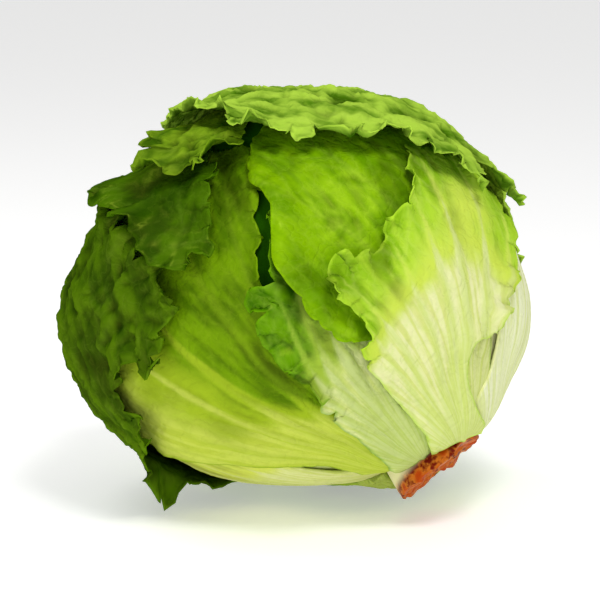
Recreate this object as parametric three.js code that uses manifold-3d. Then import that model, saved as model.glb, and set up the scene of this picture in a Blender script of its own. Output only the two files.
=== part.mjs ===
// A head of iceberg lettuce lying on its side, its cut stem low at the front right.
// Millimetres, +Z up, resting on the plane z = 0. The heart is a firm ball of packed leaves round a short
// conical stem. Thirteen wrapper leaves grow from the stem and are laid round the heart one over another.
import * as THREE from "three";
import Module from "manifold-3d";

const wasm = await Module();
wasm.setup();

const RAD = Math.PI / 180;

// The head
const HEART_HALF_SIZE = [82, 71.5, 70]; // along X, Y and Z, inside the wrapper leaves
const HEART_BASE = 71.5; // from the centre to the flat that the stem comes out of
const BASE_TILT = [9, 190]; // of that flat from the stem axis, and its azimuth
const HEART_FLOOR = 63.5; // from the centre down to the flat that the head is pressed to
const HEART_ROUNDING = 16; // higher for crisper edges round the flats
const MEAN_RADIUS = 78; // turns a length along the surface into an angle
const STEM_DROOP = 43; // degrees that the stem axis points below the horizontal
const STEM_TURN = -34.7; // degrees from +X towards -Y
const PRESSED_RADIUS = 27; // of the flat on which the head lies

// The stem
const STEM_CONE = 11.8; // degrees from the axis to its wall, seen from the head's centre
const STEM_INNER_END = 40; // both along the axis, from the centre
const STEM_CUT_FACE = 82;
const STEM_CLEARANCE = 0.5;
const LEAF_BASE_ANGLE = 12.9; // where the leaves' bases stand round the stem

// The heart
const HEART_ROWS = 16;
const HEART_COLUMNS = 32;
const HEART_LEAVES = 5;
const HEART_OVERLAP = 0.8; // heights of the overlapping edges and of the ribs
const HEART_RIB = 0.3;

// The leaves
const GAP = 0.6; // between a leaf and what it lies on
const BLADE_THICKNESS = 0.8;
const MARGIN_THICKNESS = 0.7;
const BASE_THICKNESS = 1.4;
const THICK_LENGTH = 48; // from the base to where the blade is thin
const MIDRIB_HEIGHT = 1.2;
const MIDRIB_HALF_WIDTH = 9;
const FRILL_WIDTH = 17; // how far the margin's waves run into the blade
const FRILL_WAVES = [26, 16.5]; // wavelengths along the margin
const RAGGED_DEPTH = 2.2;
const RAGGED_WAVES = [31, 19];
const CRINKLE_WAVE = 24; // between the blade's blisters
const PHASE_STEP = 2.4; // shifts the waves from leaf to leaf
const BASE_HALF_SPREAD = 37; // degrees round the stem that half a leaf's base takes
const BASE_STEPS = 6;
const REACH = 8.5; // how far round a point the leaf below is felt
const TIGHTENING_ROUNDS = 3;
const COVER_STEPS = 110; // cells along an edge of the cube that holds what has been laid
const PAINT_STEP = 0.9;

// How finely a leaf laid flat is divided, in millimetres
const MARGIN_STEP = 7;
const BLADE_STEP = 10;
const MARGIN_INSET = 5.5; // a line of points follows the margin at this distance
const FAR = 9e3; // beyond any leaf

// Each leaf, from the innermost to the outermost. Places on the head are [angle from the stem axis,
// azimuth about it] in degrees, with azimuth 0 up and rising to the left. `base` is the azimuth at which
// the leaf leaves the stem, and `margin` its outline from the left of its base over its tip to the right
// of its base. Lift, frill and crinkle are heights in millimetres.
const LEAVES = [
  {
    name: "leaf_right_inner",
    color: 0xd9e3a6,
    base: -26,
    margin: [
      [24, 20], [50, 26], [78, 22], [100, 8], [110, -20], [106, -55], [85, -80], [55, -88], [26, -74],
    ],
    lift: 0.5,
    frill: 0.6,
    crinkle: 0.3,
  },
  {
    name: "leaf_under",
    color: 0xc3d67c,
    base: 160,
    margin: [
      [24, 204], [55, 210], [90, 206], [116, 188], [124, 160], [113, 134], [85, 119], [55, 114],
      [26, 122],
    ],
    lift: 0.5,
    frill: 0.6,
    crinkle: 0.3,
  },
  {
    name: "leaf_back_inner",
    color: 0xb9cf6e,
    base: -128,
    margin: [
      [24, -84], [55, -80], [88, -86], [114, -104], [122, -130], [113, -156], [86, -172], [55, -176],
      [24, -170],
    ],
    lift: 0.5,
    frill: 0.6,
    crinkle: 0.3,
  },
  {
    name: "leaf_left_ribbed",
    color: 0x9dbb4c,
    base: 90,
    margin: [
      [19, 119], [27, 111], [39, 112], [53, 118], [63, 125], [75, 133], [92, 138], [112, 132],
      [128, 112], [136, 90], [134, 66], [128, 52], [118, 42], [112, 42], [106, 44], [102, 48],
      [97, 54], [91, 58], [86, 62], [80, 65], [72, 64], [60, 62], [40, 66], [22, 64],
    ],
    lift: 0.7,
    frill: 0.8,
    crinkle: 0.4,
  },
  {
    name: "leaf_front",
    color: 0x8fb13c,
    base: 66,
    margin: [
      [18, 92], [24, 86], [38, 81], [46, 80], [54, 79], [60, 78], [66, 76], [70, 76], [75, 73],
      [80, 70], [82, 64], [86, 56], [97, 46], [108, 36], [112, 22], [98, 10], [74, 14], [50, 24],
      [30, 30], [20, 36],
    ],
    lift: 0.8,
    frill: 1.6,
    crinkle: 0.4,
  },
  {
    name: "leaf_front_upper",
    color: 0xb2cc52,
    base: 12,
    margin: [
      [22, 36], [40, 42], [52, 50], [56, 57], [60, 59], [66, 59], [72, 57], [82, 56], [87, 54],
      [97, 49], [102, 46], [108, 40], [118, 34], [124, 20], [119, 0], [102, -14], [80, -14], [60, -6],
      [42, 0], [22, -10],
    ],
    lift: 2,
    frill: 0.5,
    crinkle: 0.4,
  },
  {
    name: "leaf_right_outer",
    color: 0xc6d680,
    base: -52,
    margin: [
      [18, 0], [22, 7], [29, -3], [47, -3], [59, -11], [70, -24], [82, -42], [97, -62], [108, -86],
      [98, -118], [72, -132], [45, -136], [22, -104],
    ],
    lift: 0.5,
    frill: 0.6,
    crinkle: 0.4,
  },
  {
    name: "leaf_front_pale",
    color: 0xdde6b2,
    base: 18,
    margin: [
      [19, 52], [35, 55], [49, 55], [57, 53], [66, 52], [73, 50], [75, 42], [72, 38], [72, 31],
      [78, 25], [83, 18], [91, 8], [90, -5], [84, -16], [77, -21], [72, -20], [60, -14], [49, -9],
      [43, -4], [39, 2], [39, 12], [30, 16], [21, 10], [16, -8],
    ],
    lift: 0.8,
    frill: 1.2,
    crinkle: 0.4,
  },
  {
    name: "leaf_back_outer",
    color: 0x7f9d3d,
    base: -125,
    margin: [
      [22, -92], [45, -98], [75, -100], [106, -108], [126, -136], [118, -162], [92, -168], [55, -165],
      [22, -155],
    ],
    lift: 0.8,
    frill: 1.2,
    crinkle: 0.6,
  },
  {
    name: "leaf_left_lower",
    color: 0x5c7d2b,
    base: 212,
    margin: [
      [22, 244], [50, 240], [85, 232], [118, 224], [145, 204], [158, 150], [150, 108], [130, 88],
      [112, 80], [99, 82], [92, 83], [90, 86], [86, 90], [81, 96], [86, 101], [92, 106], [92, 112],
      [88, 116], [83, 118], [77, 123], [75, 134], [71, 145], [64, 151], [56, 160], [48, 168],
      [22, 180],
    ],
    lift: 1.4,
    frill: 1.6,
    crinkle: 1,
  },
  {
    name: "leaf_left_middle",
    color: 0x6d8e33,
    base: 224,
    margin: [
      [22, 254], [50, 244], [95, 224], [130, 212], [156, 170], [156, 100], [142, 62], [125, 52],
      [112, 54], [105, 62], [99, 65], [95, 69], [95, 74], [97, 77], [102, 81], [112, 83], [123, 87],
      [134, 91], [148, 97], [158, 135], [142, 172], [118, 182], [75, 192], [45, 198], [24, 194],
    ],
    lift: 1.2,
    frill: 1.4,
    crinkle: 0.9,
  },
  {
    name: "leaf_crown_left",
    color: 0x577829,
    base: 192,
    margin: [
      [22, 226], [50, 234], [85, 236], [120, 230], [150, 228], [168, -60], [156, -10], [140, 20],
      [126, 36], [118, 43], [113, 45], [112, 50], [111, 54], [111, 57], [111, 60], [115, 62],
      [117, 65], [123, 72], [128, 76], [140, 80], [153, 84], [166, 110], [163, 175], [145, 190],
      [118, 186], [88, 176], [50, 166], [22, 160],
    ],
    lift: 1.2,
    frill: 1.6,
    crinkle: 1,
  },
  {
    name: "leaf_crown",
    color: 0x6c8c35,
    base: -116,
    margin: [
      [22, -90], [45, -84], [60, -76], [69, -60], [75, -44], [77, -30], [72, -18], [69, -13],
      [75, -14], [81, -10], [76, -2], [72, 1], [78, 3], [83, 4], [86, 7], [90, 13], [93, 19], [97, 24],
      [103, 26], [106, 30], [110, 33], [115, 36], [118, 42], [122, 44], [126, 45], [134, 46],
      [148, 50], [163, 50], [165, -150], [135, -132], [100, -124], [60, -120], [22, -138],
    ],
    lift: 1.2,
    frill: 1.6,
    crinkle: 1,
  },
];

function vector(x, y, z) {
  return new THREE.Vector3(x, y, z);
}

// The stem axis, and two directions square to it: azimuth 0 and azimuth 90
const AXIS = vector(
  Math.cos(STEM_DROOP * RAD) * Math.cos(STEM_TURN * RAD),
  Math.cos(STEM_DROOP * RAD) * Math.sin(STEM_TURN * RAD),
  -Math.sin(STEM_DROOP * RAD),
);
const UPWARD = vector(0, 0, 1).addScaledVector(AXIS, -AXIS.z).normalize();
const LEFTWARD = AXIS.clone().cross(UPWARD);
const DOWN = vector(0, 0, -1);

// The direction from the head's centre at an angle from the stem axis and an azimuth about it
function direction(angle, azimuth) {
  return AXIS.clone()
    .multiplyScalar(Math.cos(angle * RAD))
    .addScaledVector(UPWARD, Math.sin(angle * RAD) * Math.cos(azimuth * RAD))
    .addScaledVector(LEFTWARD, Math.sin(angle * RAD) * Math.sin(azimuth * RAD));
}

function smoothstep(x, from, to) {
  const t = Math.min(1, Math.max(0, (x - from) / (to - from)));
  return t * t * (3 - 2 * t);
}

// From 0 to 1, waving with the position along and across a leaf
function waves(x, y, length, phase) {
  const a = Math.sin((6.28 * x) / length + 1.7 * phase) * Math.cos((6.28 * y) / (1.3 * length) + phase);
  const b = Math.sin((6.28 * (0.8 * x + 0.6 * y)) / (0.62 * length) + 2.9 * phase);
  return 0.5 + 0.3 * a + 0.2 * b;
}

const BASE_NORMAL = direction(...BASE_TILT);

// The heart's radius: an ellipsoid, flattened where the stem comes out and where the head is pressed
function heartRadius(d) {
  const [x, y, z] = HEART_HALF_SIZE;
  const limits = [
    Math.hypot(d.x / x, d.y / y, d.z / z),
    d.dot(BASE_NORMAL) / HEART_BASE,
    d.dot(DOWN) / HEART_FLOOR,
  ];
  const sum = limits.reduce((total, limit) => total + Math.max(0, limit) ** HEART_ROUNDING, 0);
  return sum ** (-1 / HEART_ROUNDING);
}

// From 0 at the stem, which holds the leaf, to 1 where its margin is free to lift
function freeShare(d) {
  return smoothstep(d.angleTo(AXIS) / RAD, 28, 50);
}

// What has been laid so far, as heights above the heart in cells on the faces of a cube round the centre
class Cover {
  constructor(steps) {
    this.steps = steps;
    this.cells = new Float32Array(6 * steps * steps);
  }

  cell(d) {
    const size = [Math.abs(d.x), Math.abs(d.y), Math.abs(d.z)];
    const axis = size.indexOf(Math.max(...size));
    const parts = [d.x, d.y, d.z];
    const face = 2 * axis + (parts[axis] < 0 ? 1 : 0);
    const place = (k) =>
      Math.min(this.steps - 1, Math.floor((parts[(axis + k) % 3] / size[axis] + 1) * 0.5 * this.steps));
    return (face * this.steps + place(1)) * this.steps + place(2);
  }

  raise(d, height) {
    const c = this.cell(d);
    this.cells[c] = Math.max(this.cells[c], height);
  }

  // All values within a distance of a direction, in three rings
  round(d, distance) {
    const side = vector(d.y, d.z, d.x).cross(d).normalize();
    const other = d.clone().cross(side);
    const found = [this.cells[this.cell(d)]];
    for (const share of [0.35, 0.7, 1]) {
      const angle = (share * distance) / MEAN_RADIUS;
      for (let k = 0; k < 10; k++) {
        const turn = (k + share) * 36 * RAD;
        const near = d
          .clone()
          .multiplyScalar(Math.cos(angle))
          .addScaledVector(side, Math.sin(angle) * Math.cos(turn))
          .addScaledVector(other, Math.sin(angle) * Math.sin(turn));
        found.push(this.cells[this.cell(near)]);
      }
    }
    return found;
  }
}

// A leaf's own flat coordinates: millimetres along the surface from the middle of its blade,
// y away from the stem and x to its right
class LeafPlane {
  constructor({ base, margin }) {
    this.middle = direction(LEAF_BASE_ANGLE, base);
    margin.forEach(([angle, azimuth]) => this.middle.add(direction(angle, azimuth)));
    this.middle.normalize();
    this.away = this.middle.clone().multiplyScalar(this.middle.dot(AXIS)).sub(AXIS).normalize();
    this.across = this.away.clone().cross(this.middle);
  }

  flat(d) {
    const angle = Math.acos(Math.min(1, Math.max(-1, this.middle.dot(d))));
    const tangent = d.clone().addScaledVector(this.middle, -this.middle.dot(d)).normalize();
    const length = angle * MEAN_RADIUS;
    return new THREE.Vector2(tangent.dot(this.across), tangent.dot(this.away)).multiplyScalar(length);
  }

  direction(p) {
    const angle = p.length() / MEAN_RADIUS;
    const turn = Math.atan2(p.x, p.y);
    return this.middle
      .clone()
      .multiplyScalar(Math.cos(angle))
      .addScaledVector(this.away, Math.sin(angle) * Math.cos(turn))
      .addScaledVector(this.across, Math.sin(angle) * Math.sin(turn));
  }
}

// The outline of a leaf laid flat: its ragged margin from the left of its base to the right, then its base
function outlineOf(leaf, plane, phase) {
  const places = leaf.margin.map(([angle, azimuth]) => {
    const p = plane.flat(direction(angle, azimuth));
    return vector(p.x, p.y, 0);
  });
  const curve = new THREE.CatmullRomCurve3(places, false, "centripetal");
  const length = curve.getLength();
  const steps = Math.round(length / MARGIN_STEP);
  const margin = Array.from({ length: steps + 1 }, (_, k) => {
    const p = curve.getPointAt(k / steps);
    const t = curve.getTangentAt(k / steps);
    const along = (length * k) / steps;
    const lobes = waves(along, 0.37 * along, RAGGED_WAVES[0], phase);
    const teeth = waves(along, 0, RAGGED_WAVES[1], phase);
    const out = freeShare(plane.direction(p)) * RAGGED_DEPTH * (lobes + teeth - 1);
    return new THREE.Vector2(p.x - t.y * out, p.y + t.x * out);
  });
  const base = Array.from({ length: BASE_STEPS + 1 }, (_, k) =>
    plane.flat(direction(LEAF_BASE_ANGLE, leaf.base - BASE_HALF_SPREAD * (1 - (2 * k) / BASE_STEPS))),
  );
  return { margin, loop: [...margin, ...base] };
}

function isInside(p, loop) {
  let inside = false;
  loop.forEach((a, k) => {
    const b = loop[(k + 1) % loop.length];
    if (a.y > p.y !== b.y > p.y && p.x < a.x + ((b.x - a.x) * (p.y - a.y)) / (b.y - a.y)) inside = !inside;
  });
  return inside;
}

// The nearest place on a line of points: how far it is, and how far along the line
function nearest(p, line) {
  let best = { distance: Infinity, along: 0 };
  let before = 0;
  for (let k = 1; k < line.length; k++) {
    const step = line[k].clone().sub(line[k - 1]);
    const length = step.length();
    const t = Math.min(1, Math.max(0, p.clone().sub(line[k - 1]).dot(step) / length ** 2));
    const distance = p.distanceTo(line[k - 1].clone().addScaledVector(step, t));
    if (distance < best.distance) best = { distance, along: before + t * length };
    before += length;
  }
  return best;
}

// Delaunay triangles of points in a plane, all turning from +x towards +y
function triangulate(points) {
  const outside = [[-FAR, -FAR], [FAR, -FAR], [0, FAR]].map(([x, y]) => new THREE.Vector2(x, y));
  const all = [...points, ...outside];
  const circled = (corners) => {
    const [a, b, c] = corners.map((k) => all[k]);
    const [ab, ac] = [b.clone().sub(a), c.clone().sub(a)];
    const twice = 2 * ab.cross(ac);
    const x = (ac.y * ab.lengthSq() - ab.y * ac.lengthSq()) / twice;
    const y = (ab.x * ac.lengthSq() - ac.x * ab.lengthSq()) / twice;
    return { corners, centre: new THREE.Vector2(a.x + x, a.y + y), reach: x * x + y * y };
  };
  let triangles = [circled([0, 1, 2].map((k) => points.length + k))];
  points.forEach((p, k) => {
    const edges = new Map();
    triangles = triangles.filter(({ corners, centre, reach }) => {
      if (centre.distanceToSquared(p) >= reach) return true;
      corners.forEach((a, i) => edges.set(`${a} ${corners[(i + 1) % 3]}`, [a, corners[(i + 1) % 3]]));
      return false;
    });
    edges.forEach(([a, b]) => {
      if (!edges.has(`${b} ${a}`)) triangles.push(circled([a, b, k]));
    });
  });
  return triangles.map(({ corners }) => corners).filter((corners) => Math.max(...corners) < points.length);
}

// A leaf laid flat, divided into triangles
function layFlat(leaf, number) {
  const plane = new LeafPlane(leaf);
  const phase = number * PHASE_STEP;
  const { margin, loop } = outlineOf(leaf, plane, phase);
  const places = [...loop];
  const closed = [...loop, loop[0]];
  const add = (p, clear) => {
    const isClear = () => places.every((q) => q.distanceTo(p) > clear);
    if (isInside(p, loop) && nearest(p, closed).distance > 0.8 * MARGIN_INSET && isClear()) places.push(p);
  };
  loop.forEach((a, k) => {
    const b = loop[(k + 1) % loop.length];
    const side = b.clone().sub(a).normalize();
    const [x, y] = [0.5 * (a.x + b.x) + side.y * MARGIN_INSET, 0.5 * (a.y + b.y) - side.x * MARGIN_INSET];
    add(new THREE.Vector2(x, y), 0.75 * MARGIN_STEP);
  });
  const extent = Math.max(...loop.map((p) => p.length()));
  const lines = Math.ceil(extent / BLADE_STEP);
  for (let i = -lines; i <= lines; i++)
    for (let j = -lines; j <= lines; j++)
      add(new THREE.Vector2((i + 0.5 * (j & 1)) * BLADE_STEP, j * BLADE_STEP * 0.866), 0.75 * BLADE_STEP);
  const triangles = triangulate(places).filter((corners) => {
    const middle = new THREE.Vector2();
    corners.forEach((k) => middle.addScaledVector(places[k], 1 / 3));
    return isInside(middle, loop);
  });
  const base = plane.flat(direction(LEAF_BASE_ANGLE, leaf.base));
  const tip = plane.flat(direction(LEAF_BASE_ANGLE + 60, leaf.base));
  const rib = tip.sub(base).normalize();
  const points = places.map((flat) => {
    const d = plane.direction(flat);
    const from = flat.clone().sub(base);
    const { distance, along } = nearest(flat, margin);
    return {
      flat,
      direction: d,
      toMargin: distance,
      along,
      free: freeShare(d),
      fromBase: from.length(),
      fromRib: from.cross(rib),
    };
  });
  return { points, triangles };
}

function geometryOf(points, triangles) {
  return new THREE.BufferGeometry()
    .setAttribute("position", new THREE.Float32BufferAttribute(points.flatMap((p) => [p.x, p.y, p.z]), 3))
    .setIndex(triangles.flat());
}

// A thin closed body from the points of its two faces, split into triangles alike
function sheetGeometry({ inner, outer, triangles }) {
  const count = inner.length;
  const edges = new Set();
  triangles.forEach((corners) => corners.forEach((a, i) => edges.add(`${a} ${corners[(i + 1) % 3]}`)));
  const rim = [];
  edges.forEach((edge) => {
    const [a, b] = edge.split(" ").map(Number);
    if (!edges.has(`${b} ${a}`)) rim.push([b + count, a + count, a], [b + count, a, b]);
  });
  const faces = [
    ...triangles.map(([a, b, c]) => [a + count, b + count, c + count]),
    ...triangles.map(([a, b, c]) => [a, c, b]),
    ...rim,
  ];
  return geometryOf([...inner, ...outer], faces);
}

// Lays a leaf on what is there: its height is what it lies on, drawn tight over hollows, with its own relief
function lay(leaf, number, { points, triangles }, cover, laterCover) {
  const support = points.map((p) => Math.max(...cover.round(p.direction, REACH)) + GAP);
  const neighbours = points.map(() => new Set());
  triangles.forEach(([a, b, c]) => {
    neighbours[a].add(b).add(c);
    neighbours[b].add(a).add(c);
    neighbours[c].add(a).add(b);
  });
  let height = support.slice();
  for (let round = 0; round < TIGHTENING_ROUNDS; round++)
    height = height.map((h, k) => {
      const near = [...neighbours[k]];
      const mean = near.reduce((sum, n) => sum + height[n], 0) / near.length;
      return Math.max(support[k], 0.5 * (h + mean));
    });
  const phase = number * PHASE_STEP;
  const inner = [];
  const outer = [];
  points.forEach((p, k) => {
    const hidden = laterCover.round(p.direction, REACH).filter((n) => n > number).length / 31;
    const below = p.direction.angleTo(DOWN) * MEAN_RADIUS;
    const pressed = 1 - smoothstep(below, PRESSED_RADIUS, 1.6 * PRESSED_RADIUS);
    const loose = (1 - pressed) * (1 - smoothstep(hidden, 0, 0.15)) * p.free;
    const margin = 1 - smoothstep(p.toMargin, 0, FRILL_WIDTH);
    const frills = [waves(p.along, 0, FRILL_WAVES[0], phase), waves(p.along, 9, FRILL_WAVES[1], phase)];
    const frill = 1.2 * frills[0] + 0.8 * frills[1];
    const crinkle = waves(p.flat.x, p.flat.y, CRINKLE_WAVE, phase) * (1 - margin);
    const low = height[k] + loose * (margin * (leaf.lift + leaf.frill * frill) + leaf.crinkle * crinkle);
    const blade = THREE.MathUtils.lerp(BLADE_THICKNESS, MARGIN_THICKNESS, margin);
    const thickness = THREE.MathUtils.lerp(BASE_THICKNESS, blade, smoothstep(p.fromBase, 0, THICK_LENGTH));
    const rib = Math.exp(-((p.fromRib / MIDRIB_HALF_WIDTH) ** 2)) * (1 - smoothstep(p.fromBase, 25, 80));
    const innerRadius = heartRadius(p.direction) + low;
    const outerRadius = innerRadius + thickness + MIDRIB_HEIGHT * rib * (1 - pressed);
    inner.push(p.direction.clone().multiplyScalar(innerRadius));
    outer.push(p.direction.clone().multiplyScalar(outerRadius));
  });
  return { points, triangles, inner, outer };
}

// Marks every cell under a triangle, by points close together on it
function paint(triangle, mark) {
  const [a, b, c] = triangle;
  const steps = Math.ceil(Math.max(a.distanceTo(b), b.distanceTo(c), c.distanceTo(a)) / PAINT_STEP);
  for (let i = 0; i <= steps; i++)
    for (let j = 0; j <= steps - i; j++) {
      const p = a.clone().multiplyScalar(1 - (i + j) / steps);
      mark(p.addScaledVector(b, i / steps).addScaledVector(c, j / steps));
    }
}

// The heart: the edges of its packed leaves run from the stem to the crown and overlap in a whorl
function heartRelief(angle, azimuth) {
  const turned = azimuth / 360 + 0.12 * Math.sin(2 * angle * RAD) + 1;
  const overlap = (HEART_LEAVES * turned) % 1;
  const ribs = (0.5 + 0.5 * Math.cos(3 * HEART_LEAVES * azimuth * RAD)) * (1 - smoothstep(angle, 50, 110));
  return Math.sin(angle * RAD) * (HEART_OVERLAP * overlap ** 2 + HEART_RIB * ribs);
}

function heartMesh() {
  const points = [AXIS.clone().multiplyScalar(HEART_BASE)];
  const triangles = [];
  const ring = (i) => 1 + (i - 1) * HEART_COLUMNS;
  for (let i = 1; i < HEART_ROWS; i++)
    for (let j = 0; j < HEART_COLUMNS; j++) {
      const angle = (180 * i) / HEART_ROWS;
      const azimuth = (360 * j) / HEART_COLUMNS;
      const d = direction(angle, azimuth);
      const relief = heartRelief(angle, azimuth) * smoothstep(angle, 24, 40);
      points.push(d.clone().multiplyScalar(heartRadius(d) + relief));
    }
  points.push(AXIS.clone().multiplyScalar(-heartRadius(AXIS.clone().negate())));
  const last = points.length - 1;
  for (let j = 0; j < HEART_COLUMNS; j++) {
    const k = (j + 1) % HEART_COLUMNS;
    triangles.push([0, ring(1) + j, ring(1) + k]);
    for (let i = 1; i < HEART_ROWS - 1; i++) {
      const [a, b, c, d] = [ring(i) + j, ring(i + 1) + j, ring(i + 1) + k, ring(i) + k];
      triangles.push([a, b, c], [a, c, d]);
    }
    triangles.push([ring(HEART_ROWS - 1) + j, last, ring(HEART_ROWS - 1) + k]);
  }
  return { points, triangles };
}

// A round body about the stem axis, from the centre of its cut face to that of its inner end
function turnedGeometry(profile, roughness) {
  const steps = 28;
  const points = [AXIS.clone().multiplyScalar(profile[0][1])];
  const triangles = [];
  profile.slice(1, -1).forEach(([radius, along, rough]) => {
    for (let j = 0; j < steps; j++) {
      const azimuth = (360 * j) / steps;
      const bumps = Math.sin(5 * azimuth * RAD) + Math.sin(11 * azimuth * RAD + radius);
      const uneven = roughness * rough * bumps;
      const side = UPWARD.clone()
        .multiplyScalar(Math.cos(azimuth * RAD))
        .addScaledVector(LEFTWARD, Math.sin(azimuth * RAD));
      points.push(
        AXIS.clone()
          .multiplyScalar(along + 0.5 * uneven)
          .addScaledVector(side, radius + 0.6 * uneven),
      );
    }
  });
  points.push(AXIS.clone().multiplyScalar(profile[profile.length - 1][1]));
  const rings = profile.length - 2;
  const last = points.length - 1;
  for (let j = 0; j < steps; j++) {
    const k = (j + 1) % steps;
    triangles.push([0, 1 + j, 1 + k]);
    for (let i = 0; i < rings - 1; i++) {
      const [a, b] = [1 + i * steps, 1 + (i + 1) * steps];
      triangles.push([a + j, b + j, b + k], [a + j, b + k, a + k]);
    }
    triangles.push([last - steps + j, last, last - steps + k]);
  }
  return geometryOf(points, triangles);
}

function solidOf(geometry) {
  return new wasm.Manifold(
    new wasm.Mesh({
      numProp: 3,
      vertProperties: new Float32Array(geometry.attributes.position.array),
      triVerts: new Uint32Array(geometry.index.array),
    }),
  );
}

function geometryOfSolid(solid) {
  const mesh = solid.getMesh();
  return new THREE.BufferGeometry()
    .setAttribute("position", new THREE.BufferAttribute(mesh.vertProperties, 3))
    .setIndex(new THREE.BufferAttribute(mesh.triVerts, 1));
}

function wallRadius(along) {
  return along * Math.tan(STEM_CONE * RAD);
}

function stemGeometry() {
  const face = STEM_CUT_FACE;
  const edge = wallRadius(face);
  return turnedGeometry(
    [
      [0, face - 0.6],
      [0.35 * edge, face - 0.9, 1],
      [0.7 * edge, face + 0.1, 1],
      [edge, face - 0.5, 0.7],
      [wallRadius(face - 4), face - 4, 0.4],
      [wallRadius(HEART_BASE + 1), HEART_BASE + 1, 0],
      [wallRadius(STEM_INNER_END), STEM_INNER_END, 0],
      [0, STEM_INNER_END],
    ],
    0.7,
  );
}

function socketGeometry() {
  const inner = STEM_INNER_END - STEM_CLEARANCE;
  const beyond = STEM_CUT_FACE + 5;
  return turnedGeometry(
    [
      [0, beyond],
      [wallRadius(beyond) + STEM_CLEARANCE, beyond, 0],
      [wallRadius(inner) + STEM_CLEARANCE, inner, 0],
      [0, inner],
    ],
    0,
  );
}

// Laying the leaves from the innermost to the outermost
function coverWith(points, triangles) {
  triangles.forEach((triangle) =>
    paint(
      triangle.map((k) => points[k]),
      (p) => {
        const radius = p.length();
        const d = p.divideScalar(radius);
        cover.raise(d, radius - heartRadius(d));
      },
    ),
  );
}

const cover = new Cover(COVER_STEPS);
const heart = heartMesh();
coverWith(heart.points, heart.triangles);

const flatLeaves = LEAVES.map((leaf, number) => layFlat(leaf, number + 1));
const laterCover = new Cover(COVER_STEPS);
flatLeaves.forEach(({ points, triangles }, number) =>
  triangles.forEach((triangle) =>
    paint(
      triangle.map((k) => points[k].direction.clone().multiplyScalar(MEAN_RADIUS)),
      (p) => laterCover.raise(p.normalize(), number + 1),
    ),
  ),
);

const sheets = LEAVES.map((leaf, number) => {
  const sheet = lay(leaf, number + 1, flatLeaves[number], cover, laterCover);
  coverWith(sheet.outer, sheet.triangles);
  return sheet;
});

// The flat on which the head lies, in the leaf that is outermost below
const isPressed = (p) => p.clone().normalize().angleTo(DOWN) * MEAN_RADIUS < PRESSED_RADIUS;
const lowest = (sheet) => Math.min(...sheet.outer.map((p) => p.z));
const bearing = sheets.reduce((a, b) => (lowest(b) < lowest(a) ? b : a));
const floor = lowest(bearing);
bearing.outer.filter(isPressed).forEach((p) => (p.z = floor));

function material(color, roughness) {
  return new THREE.MeshStandardMaterial({ color, roughness, metalness: 0 });
}

const head = new THREE.Group();
function add(name, geometry, finish) {
  const mesh = new THREE.Mesh(geometry, finish);
  mesh.name = name;
  head.add(mesh);
}

add("stem", stemGeometry(), material(0xc98a4a, 0.5));
const heartSolid = solidOf(geometryOf(heart.points, heart.triangles)).subtract(solidOf(socketGeometry()));
add("heart", geometryOfSolid(heartSolid), material(0xdbe8b0, 0.5));
LEAVES.forEach((leaf, number) => {
  add(leaf.name, sheetGeometry(sheets[number]), material(leaf.color, 0.45));
});

// The origin is under the middle of the head, on the surface it lies on
const box = new THREE.Box3().setFromObject(head);
const middle = box.getCenter(new THREE.Vector3());
head.position.set(-middle.x, -middle.y, -floor);

export default head;
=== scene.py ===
# A head of iceberg lettuce lying on its side: its heart, its cut stem, and thirteen wrapper leaves that are
# laid over one another as in the frame, with their veins, blisters and frilled margins.
import math

import bpy
import numpy as np
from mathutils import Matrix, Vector
from mathutils.geometry import delaunay_2d_cdt


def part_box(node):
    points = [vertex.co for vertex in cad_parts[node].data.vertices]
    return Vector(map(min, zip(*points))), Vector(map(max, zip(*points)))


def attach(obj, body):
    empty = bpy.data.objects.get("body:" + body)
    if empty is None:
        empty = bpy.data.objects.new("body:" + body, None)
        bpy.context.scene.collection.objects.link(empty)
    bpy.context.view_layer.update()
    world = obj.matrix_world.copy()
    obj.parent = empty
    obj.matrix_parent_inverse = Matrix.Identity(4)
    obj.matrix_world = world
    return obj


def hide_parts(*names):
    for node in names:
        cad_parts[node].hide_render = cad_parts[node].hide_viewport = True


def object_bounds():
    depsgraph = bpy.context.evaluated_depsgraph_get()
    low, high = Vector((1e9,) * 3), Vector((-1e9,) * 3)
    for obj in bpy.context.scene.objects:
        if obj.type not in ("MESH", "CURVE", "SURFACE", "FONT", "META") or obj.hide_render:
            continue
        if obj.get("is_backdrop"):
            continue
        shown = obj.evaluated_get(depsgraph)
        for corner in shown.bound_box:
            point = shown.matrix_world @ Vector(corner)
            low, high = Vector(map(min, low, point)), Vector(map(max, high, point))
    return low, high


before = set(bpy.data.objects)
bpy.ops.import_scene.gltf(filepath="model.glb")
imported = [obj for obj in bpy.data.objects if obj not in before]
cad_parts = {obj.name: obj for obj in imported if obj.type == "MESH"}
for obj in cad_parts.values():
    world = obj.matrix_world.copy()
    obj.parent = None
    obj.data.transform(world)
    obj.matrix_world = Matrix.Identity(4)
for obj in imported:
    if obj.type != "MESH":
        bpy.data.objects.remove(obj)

cad_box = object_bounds()
MM = 0.001
RAD = math.pi / 180

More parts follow.
